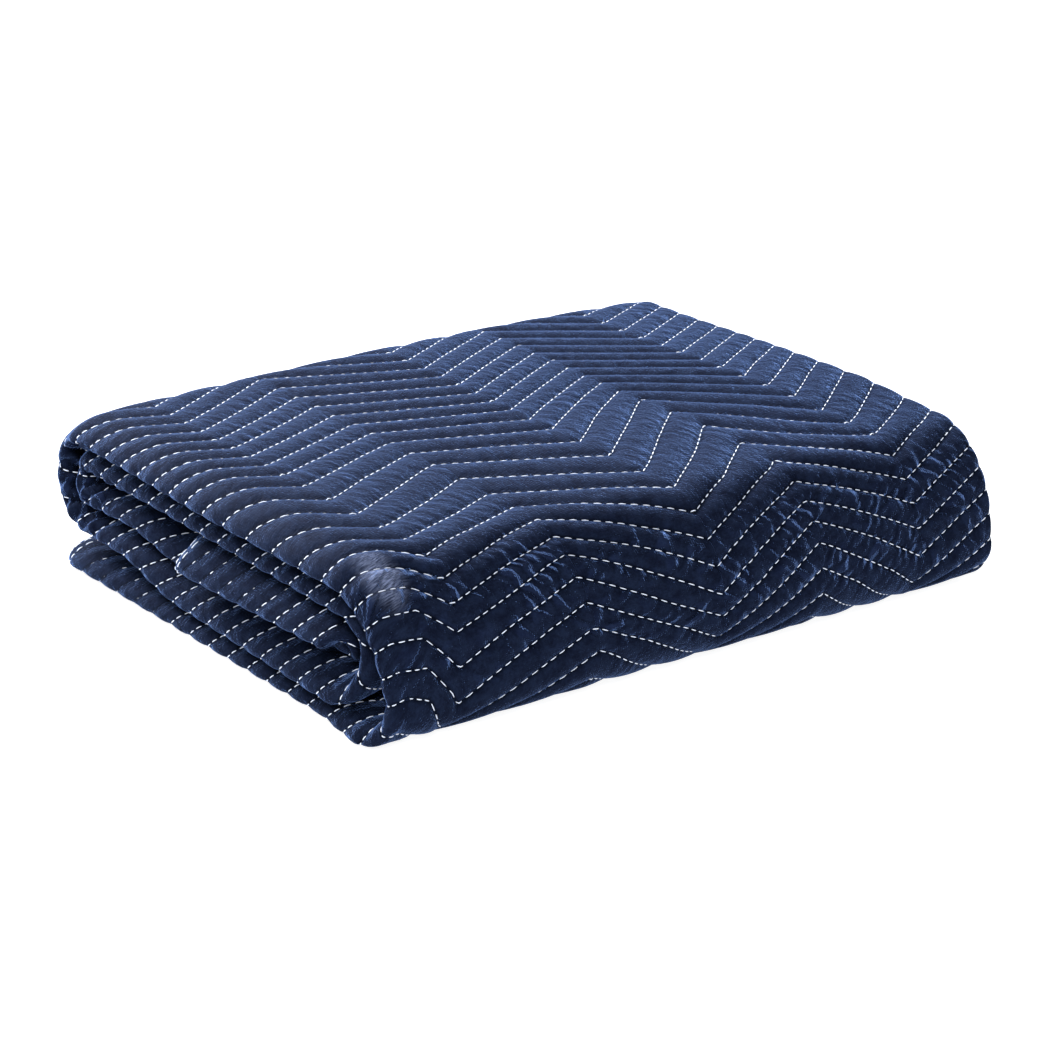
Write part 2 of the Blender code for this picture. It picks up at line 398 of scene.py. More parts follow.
def fold(centre, radii, start_angle, end_angle):
    """Points of a round fold, an arc of an ellipse in the YZ plane, angles in degrees from +Y."""
    length = math.radians(abs(end_angle - start_angle)) * max(radii)
    steps = max(8, round(length / PATH_STEP))
    points = []
    for step in range(steps + 1):
        angle = math.radians(start_angle + (end_angle - start_angle) * step / steps)
        points.append((centre[0] + radii[0] * math.cos(angle), centre[1] + radii[1] * math.sin(angle)))
    return points


def lifted(level):
    """Height of a level that climbs towards the back loops."""
    return lambda y: level_z(level) + BACK_LIFT * smooth(y, LIFT_START_Y, LIFT_END_Y)


def flat(level):
    """Height of a level that lies flat."""
    return lambda y: level_z(level)


def strip_path():
    """The middle line of the strip in the YZ plane, hem to hem, and the named places on it."""
    floor, second, fourth, last, third, top = range(LEVELS)
    front_line = -BUNDLE_DEPTH / 2 + STRIP / 2
    tuck = (front_line + FRONT_TUCK_RADIUS, level_z(floor) + FRONT_TUCK_RADIUS)
    shoulder = (front_line + FRONT_SHOULDER_REACH, tuck[1])
    shoulder_radii = (FRONT_SHOULDER_REACH, level_z(top) - shoulder[1])

    outer_loop = (level_z(top) - level_z(second) - BACK_LIFT) / 2
    inner_loop = outer_loop - LEVEL_PITCH
    loop = (BUNDLE_DEPTH / 2 - STRIP / 2 - outer_loop, level_z(top) - outer_loop)
    nest = (INNER_FRONT_Y, (level_z(second) + level_z(third)) / 2)
    second_fold = (level_z(third) - level_z(second)) / 2
    tight_fold = (level_z(last) - level_z(fourth)) / 2

    stretches = (
        ("low hem", run(LOW_HEM_Y, LOW_MIDDLE_Y, flat(floor))),
        ("low run middle", run(LOW_MIDDLE_Y, tuck[0], flat(floor))),
        ("low run front", fold(tuck, (FRONT_TUCK_RADIUS,) * 2, -90, -180)),
        ("front tuck top", fold(shoulder, shoulder_radii, 180, 90)),
        ("top run front", run(shoulder[0], 0, flat(top))),
        ("top run middle", run(0, loop[0], flat(top))),
        ("top run back", fold(loop, (outer_loop,) * 2, 90, 0)),
        ("outer loop back", fold(loop, (outer_loop,) * 2, 0, -90)),
        ("second run back", run(loop[0], nest[0], lifted(second))),
        ("second run front", fold(nest, (second_fold,) * 2, -90, -180)),
        ("second fold front", fold(nest, (second_fold,) * 2, 180, 90)),
        ("third run front", run(nest[0], loop[0], flat(third))),
        ("third run back", fold(loop, (inner_loop,) * 2, 90, 0)),
        ("inner loop back", fold(loop, (inner_loop,) * 2, 0, -90)),
        ("fourth run back", run(loop[0], COVERED_START_Y, lifted(fourth))),
        ("fourth run middle", run(COVERED_START_Y, COVERED_END_Y, lifted(fourth))),
        ("fourth run covered", run(COVERED_END_Y, nest[0], lifted(fourth))),
        ("fourth run front", fold(nest, (tight_fold,) * 2, -90, -180)),
        ("tight fold front", fold(nest, (tight_fold,) * 2, 180, 90)),
        ("last run front", run(nest[0], INNER_HEM_Y, flat(last))),
    )
    points = [stretches[0][1][0]]
    lengths = [0.0]
    places = {}
    for name, stretch in stretches:
        places[name] = lengths[-1]
        for point in stretch[1:]:
            lengths.append(lengths[-1] + math.dist(points[-1], point))
            points.append(point)
    places["inner hem"] = lengths[-1]
    return points, lengths, places


def look_up(value, keys, values):
    """Read a table of numbers or points at a value between its keys."""
    low, high = 0, len(keys) - 1
    while high - low > 1:
        middle = (low + high) // 2
        if keys[middle] <= value:
            low = middle
        else:
            high = middle
    share = min(max((value - keys[low]) / (keys[high] - keys[low]), 0.0), 1.0)
    return tuple(a + (b - a) * share for a, b in zip(values[low], values[high]))


def settled(co):
    """Let the stack sag towards the front right and both back corners, and bow its front fold."""
    across = (co.x + BUNDLE_WIDTH / 2) / BUNDLE_WIDTH
    outward = (2 * co.x / BUNDLE_WIDTH) ** 2
    forward = max(0.0, (SLUMP_START_Y - co.y) / (SLUMP_START_Y + BUNDLE_DEPTH / 2))
    bowed = smooth(-co.y, BOW_START_Y, BUNDLE_DEPTH / 2) * smooth(co.z, BOW_START_Z, BOW_END_Z)
    crowned = smooth(co.y, -BOW_START_Y, BUNDLE_DEPTH / 2)
    wave = math.sin(2 * math.pi * (co.x / WAVE_LENGTH + WAVE_SHIFT))
    wave *= math.cos(2 * math.pi * co.y / WAVE_WIDTH)
    sag = FRONT_SLUMP * across * forward + BACK_CROWN * outward * crowned + UNEVENNESS * 0.5 * (1 + wave)
    return Vector((co.x, co.y + FRONT_BOW * outward * bowed, co.z * (1 - sag)))


class FoldedSheet:
    """Where each point of the flat sheet lies once it is folded in eight and rolled flat.

    A flat point is (u, v): u runs along the rows of quilting, v across them from the low hem.
    """

    def __init__(self, settings):
        self.settings = settings
        self.plies = len(PLY_LAYERS)
        self.ply = settings.flat_length / self.plies
        self.layer = (STRIP - settings.puff * PUFF_ROOM) / self.plies
        self.points, self.lengths, places = strip_path()
        self.end_keys = [places[row[0]] for row in END_TABLE]
        self.end_values = [row[1:] for row in END_TABLE]
        self.ease_keys = [row[0] for row in EASE_TABLE]
        self.ease_values = [row[1:] for row in EASE_TABLE]
        self.drawn_keys = [row[0] for row in DRAWN_TABLE]
        self.drawn_values = [(row[1], row[2], *row[3]) for row in DRAWN_TABLE]
        self.valley_u = self.ply + settings.first_valley
        heights = [self.ply_height(ply) for ply in range(self.plies)]
        turns = [abs(heights[ply] - heights[ply - 1]) / 2 for ply in range(1, self.plies)]
        self.turns = [0.0] + turns + [0.0]
        self.widest_turn = {1: max(self.turns[1::2]), -1: max(self.turns[2:-1:2])}

    def ply_height(self, ply):
        """Height of a ply above the strip's middle line."""
        return (PLY_LAYERS[ply] - (self.plies - 1) / 2) * self.layer

    def zigzag(self, u):
        """Offset of a row of quilting at u, from -half to +half of the zigzag's height."""
        turns = (u - self.valley_u) / self.settings.zigzag_leg
        return self.settings.zigzag_height * (0.5 - abs(turns % 2 - 1))

    def section(self, u, left, right, droop):
        """Place across the strip at u as (x, height), and the direction out of the sheet there."""
        ply = min(max(int(u / self.ply), 0), self.plies - 1)
        height = self.ply_height(ply)
        ends = []
        for edge in (ply, ply + 1):
            side = -1 if edge % 2 else 1
            radius = self.turns[edge]
            tip_x = -BUNDLE_WIDTH / 2 + left if side < 0 else BUNDLE_WIDTH / 2 - right
            tip_x -= side * (self.widest_turn[-side] - radius) * NEST_GAP
            if not radius:
                ends.append((0.0, tip_x, side, 0.0, 0.0, height))
                continue
            other = self.ply_height(edge - 1 if ply == edge else edge)
            tip_height = (height + other) / 2 + radius * droop * (1 if side < 0 else RIGHT_DROOP_SHARE)
            rise = height - tip_height
            reach = abs(rise) * (LEFT_REACH if side < 0 else RIGHT_REACH)
            arc = math.pi / 2 * math.sqrt((rise * rise + reach * reach) / 2)
            ends.append((arc, tip_x, side, rise, reach, tip_height))
        start, end = ends
        along = u - ply * self.ply
        if along < start[0] or self.ply - along < end[0]:
            arc, tip_x, side, rise, reach, tip_height = start if along < start[0] else end
            angle = (along if along < start[0] else self.ply - along) / arc * math.pi / 2
            out = Vector((side * abs(rise) * math.cos(angle),
                          math.copysign(reach, rise) * math.sin(angle)))
            x = tip_x - side * reach * (1 - math.cos(angle))
            return x, tip_height + rise * math.sin(angle), out.normalized()
        share = (along - start[0]) / (self.ply - start[0] - end[0])
        start_x = start[1] - start[2] * start[4]
        end_x = end[1] - end[2] * end[4]
        return start_x + (end_x - start_x) * share, height, Vector((0, 1 if ply % 2 else -1))

    def relief_share(self, u, v):
        """How much of the puff is in the sheet's form at a flat point."""
        along = band(v, RELIEF_START, RELIEF_START + RELIEF_FADE, RELIEF_END - RELIEF_FADE, RELIEF_END)
        along *= 1 - TOP_FLATTENED * smooth(v, TOP_START, TOP_START + 2 * RELIEF_FADE)
        from_left, from_right = u - self.ply, u - 2 * self.ply
        across = band(from_left, *RELIEF_LEFT, *(self.ply + place for place in RELIEF_PAST_RIGHT))
        across *= 1 - RELIEF_RIGHT_LOWERED * smooth(from_right, *RELIEF_RIGHT)
        turn = 1 - smooth(abs(from_left), *RELIEF_ON_TURNS)
        return max(along * across, RELIEF_TURN_SHARE * turn)

    def loop_inside(self, u, v):
        """How far a flat point is inside one of the back loops, at their left end."""
        inside = band(v, *OUTER_LOOP_INSIDE) + band(v, *INNER_LOOP_INSIDE)
        return inside * (1 - smooth(u - self.ply, *LOOP_INSIDE_REACH))

    def gathered(self, u, v):
        """How deeply the cloth is puckered at a flat point, from 0 to 1."""
        return max(GATHERED_EVERYWHERE, band(v, *GATHERED_FRONT), self.loop_inside(u, v))

    def painted_sheen(self, u, v):
        """How much painted sheen lies at a flat point: a patch on the front left shoulder, painted pale
        for its shine.
        """
        across = (u - self.ply - SHEEN_PATCH_PLACE[0]) / SHEEN_PATCH_SIZE[0]
        along = (v - SHEEN_PATCH_PLACE[1]) / SHEEN_PATCH_SIZE[1]
        return 1 - smooth(math.hypot(across, along), SHEEN_PATCH_CORE, 1.0)

    def puff(self, u, v):
        """Height of the puffed channels at a flat point: 0 on a row of stitching, 1 between two."""
        phase = (v - self.zigzag(u) - self.settings.first_row) / self.settings.quilt_pitch
        return abs(math.sin(math.pi * phase)) ** PUFF_ROUNDNESS

    def drawn(self, u, v):
        """How far the outer ply is drawn out of true at a flat point: sideways, and along the strip."""
        from_fold = u - self.ply
        if not 0 < from_fold < self.ply or not SIDEWAYS_START < v < SIDEWAYS_END:
            return 0.0, 0.0
        low, high, *shifts = look_up(from_fold, self.drawn_keys, self.drawn_values)
        sideways = low + (high - low) * smooth(v, SIDEWAYS_LOW, SIDEWAYS_HIGH)
        sideways *= band(v, SIDEWAYS_START, SIDEWAYS_LOW, DRAWN_PLACES[-1], SIDEWAYS_END)
        return sideways, look_up(v, DRAWN_PLACES, [(shift,) for shift in shifts])[0]

    def creased(self, u, v):
        """How deep the creases and loop wrinkles are at a flat point, less than 0 on a ridge."""
        depth = 0.0
        for start, end, half_width, deep in CREASE_TABLE:
            way = Vector(end) - Vector(start)
            offset = Vector((u - self.ply - start[0], v - start[1]))
            share = offset.dot(way) / way.length_squared
            away = abs(offset.cross(way)) / way.length
            depth += deep * (1 - smooth(away, 0, half_width)) * band(share, *CREASE_TAPER)
        swing = LOOP_WRINKLE_SWING * math.sin(2 * math.pi * u / LOOP_WRINKLE_SWING_PITCH)
        wave = math.sin(2 * math.pi * v / LOOP_WRINKLE_PITCH + swing)
        return depth + LOOP_WRINKLE * self.loop_inside(u, v) * wave

    def hem_place(self, place, length):
        """Place of a point of a hem, and how far it lies under the sheet."""
        past = max(-place, place - length)
        if past <= 0:
            return place, 0.0
        turned = min(past / HEM_TURN, 1.0)
        under = HEM_THICKNESS * (1 - math.cos(math.pi * turned)) / 2
        back = max(past - HEM_TURN, 0.0)
        return (back if place < 0 else length - back), under

    def lay(self, u, v, lift=0.0):
        """The folded place of a flat point, raised by lift out of the sheet."""
        u, under_u = self.hem_place(u, self.settings.flat_length)
        v, under_v = self.hem_place(v, self.settings.flat_width)
        along = look_up(v, self.ease_keys, self.ease_values)[0]
        sideways, drawn = self.drawn(u, v)
        along += drawn
        left, right, hang = look_up(along, self.end_keys, self.end_values)
        hem_distance = min(v, self.settings.flat_width - v)
        if hem_distance < HEM_CORNER:
            share = 1 - hem_distance / HEM_CORNER
            left += HEM_CORNER * (1 - math.sqrt(1 - share * share)) * HEM_CORNER_DEPTH
        y, z = look_up(along, self.lengths, self.points)
        ahead = look_up(along + PATH_STEP, self.lengths, self.points)
        behind = look_up(along - PATH_STEP, self.lengths, self.points)
        tangent = Vector((ahead[0] - behind[0], ahead[1] - behind[1])).normalized()
        x, height, out = self.section(u, left, right, -EDGE_DROOP * tangent.x)
        share = self.relief_share(u, v)
        lift += share * self.settings.puff * (self.puff(u, v) - PUFF_MEAN) - max(under_u, under_v)
        lift -= self.creased(u, v)
        x += out.x * lift + sideways
        height += out.y * lift
        hang *= 1 - smooth(x + BUNDLE_WIDTH / 2 - left, 0, HANG_REACH)
        return settled(Vector((x, y - tangent.y * height, z + tangent.x * height - hang)))


def spread(start, end, spacing):
    """Even steps from start up to, and not at, end."""
    steps = max(1, round((end - start) / spacing))
    return [start + (end - start) * step / steps for step in range(steps)]


def sheet_rows(sheet):
    """Mesh rows on the flat sheet, from hem to hem, with one on every row of quilting."""
    settings = sheet.settings
    step = settings.quilt_pitch * ROW_STEP_SHARE
    rows = [-HEM, -HEM_TURN, -HEM_TURN / 2, 0.0, HEM_ROW]
    place = settings.first_row
    while place < settings.flat_width - step:
        rows.append(place)
        place += step
    rows += [settings.flat_width + offset for offset in (-HEM_ROW, 0.0, HEM_TURN / 2, HEM_TURN, HEM)]
    return rows


def turn_band(sheet, edge):
    """Width of the band of close columns beside a turn between plies."""
    if edge == 1:
        return END_BAND
    return WIDE_TURN_BAND if sheet.turns[edge] > WIDE_TURN else NARROW_TURN_BAND


def turn_columns(width):
    """Number of columns in a band beside a turn."""
    return OUTER_TURN_COLUMNS if width == END_BAND else TURN_COLUMNS


def sheet_columns(sheet):
    """Mesh columns on the flat sheet, from selvedge to selvedge, close together at the turns."""
    settings = sheet.settings
    columns = [-HEM, -HEM_TURN, -HEM_TURN / 2]
    for ply in range(sheet.plies):
        start = ply * sheet.ply
        end = start + sheet.ply
        first, last = turn_band(sheet, ply), turn_band(sheet, ply + 1)
        columns += spread(start, start + first, first / turn_columns(first))
        inner_start, inner_end = start + first, end - last
        if ply == 1:
            leg = settings.zigzag_leg / LEG_COLUMNS
            columns.append(inner_start)
            place = sheet.valley_u - leg * int((sheet.valley_u - inner_start - COLUMN_CLEARANCE) / leg)
            while place < inner_end - COLUMN_CLEARANCE:
                columns.append(place)
                place += leg
        else:
            columns += spread(inner_start, inner_end, (inner_end - inner_start) / PLAIN_COLUMNS)
        columns += spread(inner_end, end, last / turn_columns(last))
    total = settings.flat_length
    columns += [total, total + HEM_TURN / 2, total + HEM_TURN, total + HEM]
    return columns


def nothing_selected():
    """Leave edit mode and deselect every object."""
    if bpy.context.object and bpy.context.object.mode != "OBJECT":
        bpy.ops.object.mode_set(mode="OBJECT")
    bpy.ops.object.select_all(action="DESELECT")


def cut_finer(obj, wanted, cuts):
    """Subdivide the faces whose flat middle passes the test wanted(u, v)."""
    bpy.ops.object.mode_set(mode="EDIT")
    bpy.context.tool_settings.mesh_select_mode = (False, False, True)
    bpy.ops.mesh.select_all(action="DESELECT")
    bpy.ops.object.mode_set(mode="OBJECT")
    for face in obj.data.polygons:
        face.select = wanted(face.center.x, face.center.y)
    bpy.ops.object.mode_set(mode="EDIT")
    bpy.ops.mesh.subdivide(number_cuts=cuts)
    bpy.ops.object.mode_set(mode="OBJECT")


# Properties that many nodes share
SMOOTHLY = {"interpolation_type": "SMOOTHSTEP"}
FLAT_NOISE = {"noise_dimensions": "2D"}


def new_material(name):
    """Add a material and return it with its node tree and its shader."""
    material = bpy.data.materials.new(name)
    material.use_nodes = True
    return material, material.node_tree, material.node_tree.nodes["Principled BSDF"]


def fill_inputs(tree, node, inputs):
    """Set a node's inputs, by name or number, or link them to a socket or a node's first output."""
    for name, value in inputs.items():
        key = name.replace("_", " ") if isinstance(name, str) else name
        if isinstance(value, bpy.types.Node):
            value = value.outputs[0]
        if isinstance(value, bpy.types.NodeSocket):
            tree.links.new(value, node.inputs[key])
        else:
            node.inputs[key].default_value = value


def add_node(tree, kind, settings=(), **inputs):
    """Add a shader node, set its properties and fill its inputs."""
    node = tree.nodes.new("ShaderNode" + kind)
    for name, value in dict(settings).items():
        setattr(node, name, value)
    fill_inputs(tree, node, inputs)
    return node


def maths(tree, operation, *values):
    """Add a node that works out one operation on its values."""
    node = add_node(tree, "Math", {"operation": operation})
    fill_inputs(tree, node, dict(enumerate(values)))
    return node


def mixed(tree, share, first, second):
    """Add a node that mixes two colours, and return the mixed colour."""
    node = add_node(tree, "Mix", {"data_type": "RGBA"}, Factor=share)
    fill_inputs(tree, node, {6: first, 7: second})
    return node.outputs[2]


def woven_polyester(settings):
    """Navy woven polyester, softly napped: dark face on, with a pale bloom at grazing angles."""
    material, tree, shader = new_material("navy_woven_polyester")
    flat_place = add_node(tree, "UVMap", {"uv_map": "flat"}).outputs["UV"]
    split = add_node(tree, "SeparateXYZ", Vector=flat_place)

    # Rows of quilting: distance from the nearest row, from 0 on the stitching to 1 between two rows.
    # The 20 legs and rows that are added change nothing in the pattern and keep the numbers above zero.
    leg = settings.zigzag_leg
    valley = settings.flat_length / len(PLY_LAYERS) + settings.first_valley
    turned = maths(tree, "ADD", split.outputs["X"], 20 * leg - valley)
    folded = maths(tree, "PINGPONG", turned, leg)
    zigzag = maths(tree, "MULTIPLY_ADD", folded, settings.zigzag_height / leg, -settings.zigzag_height / 2)
    level = maths(tree, "SUBTRACT", split.outputs["Y"], zigzag)
    from_first = maths(tree, "ADD", level, 20 * settings.quilt_pitch - settings.first_row)
    near_row = maths(tree, "PINGPONG", from_first, settings.quilt_pitch / 2)
    channel = maths(tree, "MULTIPLY", near_row, 2 / settings.quilt_pitch)

    # Mottling in patches of 8 mm and the tufts of the brushed nap, 1.5 mm, in colour and in relief
    patches = add_node(tree, "TexNoise", FLAT_NOISE, Vector=flat_place, Scale=1 / (8 * MM), Detail=4.0,
                       Roughness=0.65)
    flecks = add_node(tree, "TexNoise", FLAT_NOISE, Vector=flat_place, Scale=1 / (1.5 * MM), Detail=2.0,
                      Roughness=0.6)
    both = maths(tree, "MULTIPLY_ADD", flecks, 0.45, patches)
    worn = add_node(tree, "MapRange", SMOOTHLY, Value=both, From_Min=0.45, From_Max=1.05)
    cloth = mixed(tree, worn, linear(settings.cloth_colour), linear(settings.worn_colour))
    # Painted shade: the cloth is darkened towards each row of stitching, in the dips where shade falls
    painted_dip_shade = add_node(tree, "MapRange", SMOOTHLY, Value=channel, From_Min=0.0, From_Max=0.30, To_Min=0.75,
                   To_Max=0.0)
    colour = mixed(tree, painted_dip_shade, cloth, linear(settings.painted_shade_colour))

    # Plain weave, drawn at 1.2 mm, coarser than the real 0.4 mm, so that it shows in the render
    weave_place = add_node(tree, "Mapping", Vector=flat_place, Scale=(1 / (1.2 * MM),) * 3)
    warp, weft = (
        add_node(tree, "TexWave", {"bands_direction": direction}, Vector=weave_place, Scale=0.31,
                 Distortion=0.6, Detail=1.0).outputs["Fac"] for direction in "XY")
    weave = maths(tree, "MULTIPLY", warp, weft)

    # Puckers square to the stitching, 5.2 mm apart and 12 mm long, deeper where the cloth is gathered
    slope = settings.zigzag_height / leg
    turn_number = maths(tree, "FLOOR", maths(tree, "DIVIDE", turned, leg))
    falling = maths(tree, "FLOORED_MODULO", turn_number, 2.0)
    slant = maths(tree, "MULTIPLY_ADD", falling, -2 * slope, slope)
    in_channel = maths(tree, "FLOORED_MODULO", from_first, settings.quilt_pitch)
    along_row = maths(tree, "MULTIPLY_ADD", slant, in_channel, split.outputs["X"])
    row_place = add_node(tree, "CombineXYZ", X=along_row, Y=level)
    pucker_place = add_node(tree, "Mapping", Vector=row_place,
                            Scale=(1 / (5.2 * MM), 1 / (12 * MM), 1.0))
    puckers = add_node(tree, "TexNoise", FLAT_NOISE, Vector=pucker_place, Scale=1.0, Detail=0.4,
                       Roughness=0.5)
    pucker_patches = add_node(tree, "TexNoise", FLAT_NOISE, Vector=flat_place, Scale=1 / (34 * MM),
                              Detail=1.0)
    patch_share = add_node(tree, "MapRange", SMOOTHLY, Value=pucker_patches, From_Min=0.42, From_Max=0.60,
                           To_Min=0.40)
    gathered = add_node(tree, "Attribute", {"attribute_name": "gathered"}).outputs["Fac"]
    pucker_share = maths(tree, "MULTIPLY", gathered, patch_share)
    ridges = add_node(tree, "MapRange", SMOOTHLY, Value=puckers, From_Min=0.32, From_Max=0.72)
    pucker_height = maths(tree, "MULTIPLY", ridges, pucker_share)

    # Painted highlight: a lighter colour on the ridges of the puckers, and a painted sheen in fine lines
    # on one patch.
    # Painted shade: in the gaps between the levels, found by ambient occlusion, the cloth is darkened to
    # the shade colour.
    ridge_top = add_node(tree, "MapRange", SMOOTHLY, Value=puckers, From_Min=0.50, From_Max=0.80,
                         To_Max=0.11)
    painted_pucker_highlight = maths(tree, "MULTIPLY", ridge_top, pucker_share)
    # Painted shade: ambient occlusion finds the gaps, and their colour is darkened
    openness = add_node(tree, "AmbientOcclusion", {"samples": 8}, Distance=14 * MM)
    painted_gap_shade = add_node(tree, "MapRange", SMOOTHLY, Value=openness.outputs["AO"], From_Min=0.20,
                      From_Max=0.80, To_Min=1.0, To_Max=0.0)
    gap_shaded_cloth = mixed(tree, painted_gap_shade, colour, linear(settings.painted_shade_colour))
    pucker_highlight_colour = mixed(tree, painted_pucker_highlight, gap_shaded_cloth, linear(settings.pucker_highlight_colour))
    # Painted sheen: on one patch of the left shoulder a pale colour, in fine glinting lines, stands in for
    # shine
    painted_sheen = add_node(tree, "Attribute", {"attribute_name": "painted_sheen"}).outputs["Fac"]
    glint_place = add_node(tree, "Mapping", Vector=flat_place, Rotation=(0, 0, math.radians(35)),
                             Scale=(1 / (4 * MM), 1 / (0.8 * MM), 1.0))
    painted_glints = add_node(tree, "TexNoise", FLAT_NOISE, Vector=glint_place, Scale=1.0, Detail=2.0,
                         Roughness=0.6)
    glint_share = add_node(tree, "MapRange", Value=painted_glints, From_Min=0.38, From_Max=0.72, To_Min=0.15,
                             To_Max=0.9)
    painted_sheen_share = maths(tree, "MULTIPLY", glint_share, painted_sheen)

    raised = add_node(tree, "Attribute", {"attribute_name": "raised"}).outputs["Fac"]
    swell = maths(tree, "MULTIPLY", maths(tree, "SUBTRACT", 1.0, raised), channel)
    swell_bump = add_node(tree, "Bump", Height=swell, Distance=1.4 * MM, Strength=1.0)
    pucker_bump = add_node(tree, "Bump", Height=pucker_height, Distance=2.3 * MM, Strength=1.0,
                           Normal=swell_bump)
    nap_bump = add_node(tree, "Bump", Height=both, Distance=1.1 * MM, Strength=0.8, Normal=pucker_bump)
    weave_bump = add_node(tree, "Bump", Height=weave, Distance=0.25 * MM, Strength=0.5, Normal=nap_bump)

    fill_inputs(tree, shader, {
        "Base Color": mixed(tree, painted_sheen_share, pucker_highlight_colour, linear(settings.sheen_patch_colour)),
        "Normal": weave_bump,
        "Roughness": 0.85,
        "Metallic": 0.0,
        "IOR": 1.5,
        "Sheen Weight": 1.0,
        "Sheen Roughness": 0.25,
        "Sheen Tint": linear("7b9ee4"),
        "Specular IOR Level": 0.04,
        "Specular Tint": linear("5f86e0"),
    })
    return material


def polyester_thread(settings):
    """White spun polyester thread: matt with a slight gloss, and a painted glow that makes it brighter
    than its light.
    """
    material, tree, shader = new_material("white_polyester_thread")
    place = add_node(tree, "TexCoord").outputs["Object"]
    fibres = add_node(tree, "TexNoise", Vector=place, Scale=1 / (0.5 * MM), Detail=2.0)
    shade = add_node(tree, "MapRange", Value=fibres, From_Min=0.3, From_Max=0.7, To_Min=0.35, To_Max=0.0)
    fill_inputs(tree, shader, {
        "Base Color": mixed(tree, shade, linear(settings.thread_colour), linear("b9c4dc")),
        "Normal": add_node(tree, "Bump", Height=fibres, Distance=0.2 * MM, Strength=0.4),
        "Roughness": 0.55,
        "IOR": 1.5,
        # Painted light: the thread glows by itself, so that it stays bright where it lies in shade
        "Emission Color": linear(settings.thread_colour),
        "Emission Strength": settings.thread_painted_glow,
    })
    return material


class BLANKET_OT_sheet(bpy.types.Operator):
    """Add the quilted sheet, folded and rolled as it lies"""
    bl_idname = "blanket.sheet"
    bl_label = "Blanket"

    def execute(self, context):
        settings = context.scene.blanket_settings
        sheet = FoldedSheet(settings)
        rows = sheet_rows(sheet)
        columns = sheet_columns(sheet)
        nothing_selected()
        bpy.ops.mesh.primitive_grid_add(
            x_subdivisions=len(columns) - 1, y_subdivisions=len(rows) - 1, size=1)
        blanket = context.object
        blanket.name = BLANKET
        blanket.data.name = BLANKET
        for vertex in blanket.data.vertices:
            column = round((vertex.co.x + 0.5) * (len(columns) - 1))
            row = round((vertex.co.y + 0.5) * (len(rows) - 1))
            vertex.co = (columns[column], rows[row], 0)

        fold_u = sheet.ply
        fine_start, fine_end = fold_u - END_BAND, 2 * fold_u + FINE_PAST_RIGHT
        before_fine, past_fine = RELIEF_START - FINE_MARGIN, RELIEF_END + FINE_MARGIN
        loop_start, loop_end = INNER_LOOP_FINE
        cut_finer(blanket, lambda u, v: fine_start < u < fine_end and RELIEF_START < v < RELIEF_END,
                  FINE_CUTS)
        cut_finer(blanket, lambda u, v: abs(u - fold_u) < END_BAND and not before_fine < v < past_fine,
                  END_CUTS)
        cut_finer(blanket, lambda u, v: abs(u - fold_u) < END_BAND and loop_start < v < loop_end, END_CUTS)

        raised = blanket.data.attributes.new("raised", "FLOAT", "POINT")
        gathered = blanket.data.attributes.new("gathered", "FLOAT", "POINT")
        # The third attribute marks the patch where sheen is painted into the colour
        painted_sheen = blanket.data.attributes.new("painted_sheen", "FLOAT", "POINT")
        for vertex in blanket.data.vertices:
            u, v = vertex.co.x, vertex.co.y
            fade = smooth(min(v, settings.flat_width - v), *ZIGZAG_FADE)
            vertex.co.y = v + sheet.zigzag(u) * fade
            raised.data[vertex.index].value = sheet.relief_share(u, vertex.co.y)
            gathered.data[vertex.index].value = sheet.gathered(u, vertex.co.y)
            painted_sheen.data[vertex.index].value = sheet.painted_sheen(u, vertex.co.y)
        flat_map = blanket.data.uv_layers.new(name="flat")
        for loop in blanket.data.loops:
            co = blanket.data.vertices[loop.vertex_index].co
            flat_map.data[loop.index].uv = (co.x, co.y)
        for vertex in blanket.data.vertices:
            vertex.co = sheet.lay(vertex.co.x, vertex.co.y)
        for name in [layer.name for layer in blanket.data.uv_layers if layer.name != "flat"]:
            blanket.data.uv_layers.remove(blanket.data.uv_layers[name])

        blanket.data.materials.append(woven_polyester(settings))
        nothing_selected()
        blanket.select_set(True)
        context.view_layer.objects.active = blanket
        bpy.ops.object.shade_smooth()
        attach(blanket, "root")
        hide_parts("blanket")
        return {"FINISHED"}


def stitch_shape(width):
    """One stitch along X, from -1/2 to 1/2, its ends drawn down into the cloth: points and faces."""
    nothing_selected()
    bpy.ops.mesh.primitive_uv_sphere_add(segments=5, ring_count=4, radius=0.5)
    shape = bpy.context.object
    bpy.ops.transform.rotate(value=math.pi / 2, orient_axis="Y", center_override=(0, 0, 0))
    bpy.ops.object.transform_apply(rotation=True)
    points = []
    for vertex in shape.data.vertices:
        along = vertex.co.x
        round_share = math.sqrt(max(0.0, 1 - (2 * along) ** 6))
        girth = math.hypot(vertex.co.y, vertex.co.z)
        scale = round_share * width / 2 / girth if girth > 1e-6 else 0.0
        points.append((along, vertex.co.y * scale, vertex.co.z * scale))
    faces = [tuple(face.vertices) for face in shape.data.polygons]
    bpy.data.objects.remove(shape)
    return points, faces


